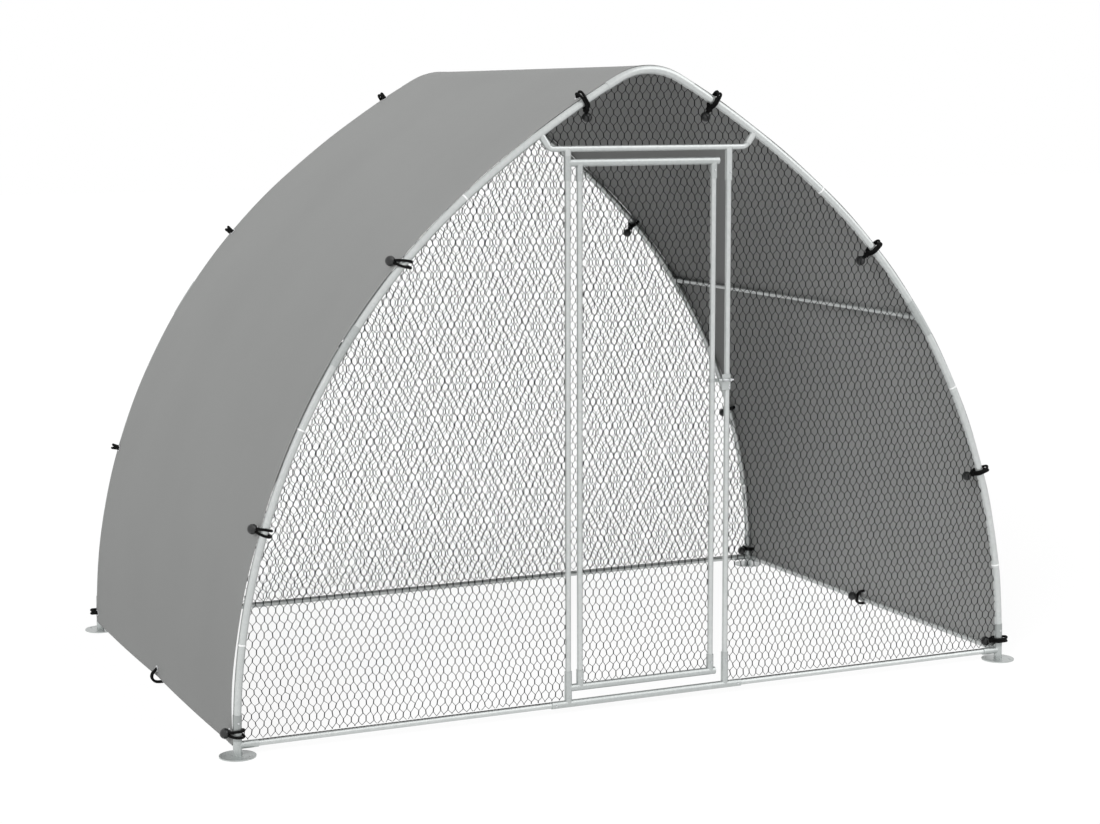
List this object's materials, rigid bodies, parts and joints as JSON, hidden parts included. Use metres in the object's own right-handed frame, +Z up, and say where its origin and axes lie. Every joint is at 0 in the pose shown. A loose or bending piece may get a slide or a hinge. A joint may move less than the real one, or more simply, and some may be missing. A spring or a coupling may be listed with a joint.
{
  "type": "walk-in chicken run",
  "caption": "Walk-in chicken run: peaked steel tube arches with netted ends, a hinged netted door with a bolt, and a grey cover tied on with ball bungees.",
  "frame": {"origin": "on the ground under the middle of the run", "axes": "+X to the right and +Y to the rear as seen from the door, +Z up; the door faces -Y"},
  "size_m": [2.914, 1.914, 2.0904],
  "materials": {
    "tube_steel": "galvanised, satin",
    "fitting_steel": "galvanised, satin",
    "bright_steel": "zinc plated",
    "net_wire": "coated wire, matt",
    "cover_cloth": "coated woven cloth, matt",
    "elastic_cord": "braided sleeve, matt",
    "ball_plastic": "moulded, satin"
  },
  "bodies": {
    "frame": {"foot_front_left": "fitting_steel", "foot_front_right": "fitting_steel", "foot_rear_left": "fitting_steel", "foot_rear_right": "fitting_steel", "leg_front_left": "tube_steel", "leg_front_right": "tube_steel", "leg_rear_left": "tube_steel", "leg_rear_right": "tube_steel", "flank_front_left": "tube_steel", "flank_front_right": "tube_steel", "flank_rear_left": "tube_steel", "flank_rear_right": "tube_steel", "haunch_front_left": "tube_steel", "haunch_front_right": "tube_steel", "haunch_rear_left": "tube_steel", "haunch_rear_right": "tube_steel", "shoulder_front_left": "tube_steel", "shoulder_front_right": "tube_steel", "shoulder_rear_left": "tube_steel", "shoulder_rear_right": "tube_steel", "purlin_tee_front_left": "fitting_steel", "purlin_tee_front_right": "fitting_steel", "purlin_tee_rear_left": "fitting_steel", "purlin_tee_rear_right": "fitting_steel", "peak_connector_front": "fitting_steel", "peak_connector_rear": "fitting_steel", "ridge_tube": "tube_steel", "purlin_left": "tube_steel", "purlin_right": "tube_steel", "header_elbow_left": "tube_steel", "header_elbow_right": "tube_steel", "header": "tube_steel", "hinge_post": "tube_steel", "latch_post": "tube_steel", "threshold": "fitting_steel", "front_rail_left": "tube_steel", "front_rail_right": "tube_steel", "rear_rail": "tube_steel", "side_rail_left": "tube_steel", "side_rail_right": "tube_steel", "front_net_left": "net_wire", "front_net_right": "net_wire", "gable_net": "net_wire", "rear_net": "net_wire", "latch_plate": "fitting_steel", "frame_screws": "bright_steel", "cover": "cover_cloth", "eyelets": "bright_steel", "tie_cords": "elastic_cord", "tie_balls": "ball_plastic"},
    "door": {"door_top_rail": "fitting_steel", "door_bottom_rail": "fitting_steel", "door_hinge_stile": "tube_steel", "door_latch_stile": "tube_steel", "door_net": "net_wire", "door_screws": "bright_steel", "latch_keeper": "fitting_steel"},
    "bolt": {"latch_bolt": "bright_steel"}
  },
  "joints": [
    {"name": "door_swing", "type": "hinge", "parent": "frame", "child": "door", "pos_m": [-0.289, -0.9, 0.9], "axis": [0, 0, -1], "range_deg": [0, 120]},
    {"name": "bolt_slide", "type": "slide", "parent": "frame", "child": "bolt", "axis": [-1, 0, 0], "range_m": [0, 0.012]}
  ]
}
